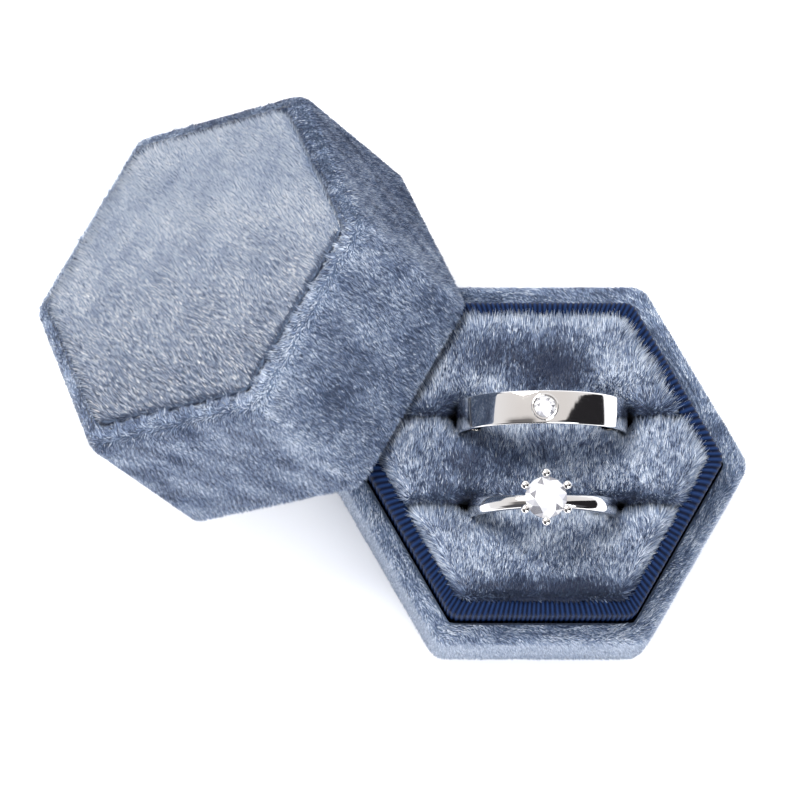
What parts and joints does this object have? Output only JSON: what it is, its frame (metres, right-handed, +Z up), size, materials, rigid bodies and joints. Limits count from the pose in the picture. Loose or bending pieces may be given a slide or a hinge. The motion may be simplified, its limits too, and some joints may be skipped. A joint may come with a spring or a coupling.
{
  "type": "ring box",
  "caption": "Hexagonal velvet ring box: tray with a ribbon collar and slotted pads holding two rings, and a lift-off lid leaning on its side.",
  "frame": {"origin": "centre of the tray's flat underside, on the surface it stands on", "axes": "+Z up; the ring slots run along X, and two of the tray's flat sides face +Y and -Y; the lid leans on the side between -X and +Y"},
  "size_m": [0.0932, 0.0709, 0.0473],
  "materials": {
    "velvet": "short blue-grey velvet pile",
    "moulded_board": "moulded grey plastic",
    "card": "grey card, matt",
    "foam": "white foam block",
    "lining": "pale blue-grey satin",
    "ribbon": "navy grosgrain ribbon",
    "white_metal": "polished white metal",
    "stone": "clear faceted stone"
  },
  "bodies": {
    "base": {"base_tray": "moulded_board", "base_velvet": "velvet", "base_bottom_cover": "card", "collar_card": "card", "collar_ribbon": "ribbon", "pad_foam_rear": "foam", "pad_foam_middle": "foam", "pad_foam_front": "foam", "pad_velvet_rear": "velvet", "pad_velvet_middle": "velvet", "pad_velvet_front": "velvet"},
    "lid": {"lid_shell": "moulded_board", "lid_side_velvet": "velvet", "lid_top_velvet": "velvet", "lid_lining_wall": "lining", "lid_lining_top": "lining"},
    "band_ring": {"band_ring_shank": "white_metal", "band_ring_bezel": "white_metal", "band_ring_stone": "stone"},
    "solitaire_ring": {"solitaire_shank": "white_metal", "solitaire_head": "white_metal", "solitaire_stone": "stone"}
  },
  "joints": [
    {"name": "lid_lift", "type": "slide", "parent": "base", "child": "lid", "axis": [0, 0, 1], "range_m": [0, 0.06]},
    {"name": "band_ring_lift", "type": "slide", "parent": "base", "child": "band_ring", "axis": [0, 0, 1], "range_m": [0, 0.03]},
    {"name": "solitaire_ring_lift", "type": "slide", "parent": "base", "child": "solitaire_ring", "axis": [0, 0, 1], "range_m": [0, 0.03]}
  ]
}
